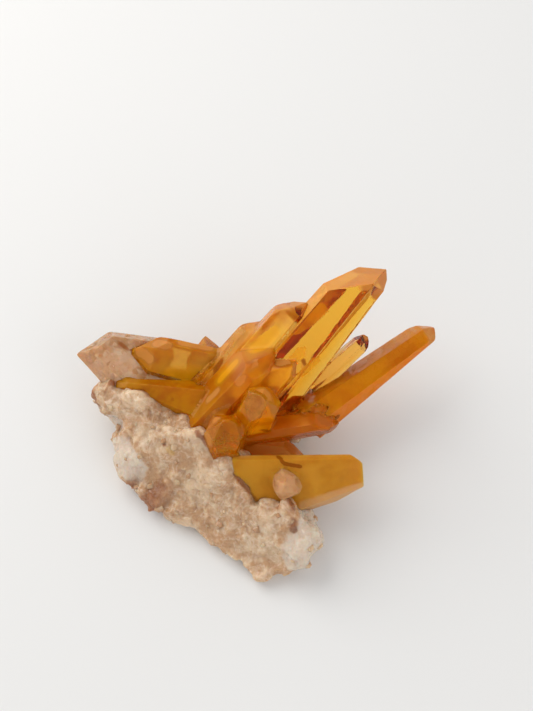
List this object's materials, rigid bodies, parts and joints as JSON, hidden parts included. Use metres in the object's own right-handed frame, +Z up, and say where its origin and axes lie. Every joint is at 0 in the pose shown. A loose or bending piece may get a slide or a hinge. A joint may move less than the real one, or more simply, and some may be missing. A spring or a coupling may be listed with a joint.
{
  "type": "tangerine quartz crystal cluster",
  "caption": "Fan of clear golden-orange quartz crystals with flat sloping end faces, grown out of a rough lump of milky pinkish quartz with a broken flat to lie on.",
  "frame": {"origin": "under the middle of the whole specimen's box, on the surface that the specimen lies on", "axes": "+X along the longest side, from the pale block crystal at the left to the tip of the right crystal; +Y away from the viewer, the way the tall crystal leans; +Z up"},
  "size_m": [0.0604, 0.0468, 0.0261],
  "materials": {
    "golden_quartz": "clear golden-orange crystal with glossy flat faces, fine growth lines across the prism faces and frosted patches",
    "satin_quartz": "cloudy tan-gold crystal, satin surface",
    "pale_quartz": "near-colourless crystal, partly clear, partly frosted with a pinkish skin",
    "milky_quartz": "rough milky quartz, pinkish to cream, sparkling with tiny crystal faces, rust-brown stains in its cracks and edges"
  },
  "bodies": {
    "root": {"centre_crystals": "golden_quartz", "right_crystal": "golden_quartz", "small_crystal": "golden_quartz", "left_crystal": "golden_quartz", "low_left_crystal": "golden_quartz", "back_crystal": "golden_quartz", "front_crystal": "satin_quartz", "far_left_crystal": "pale_quartz", "bead_crystal": "pale_quartz", "matrix": "milky_quartz"}
  },
  "joints": []
}
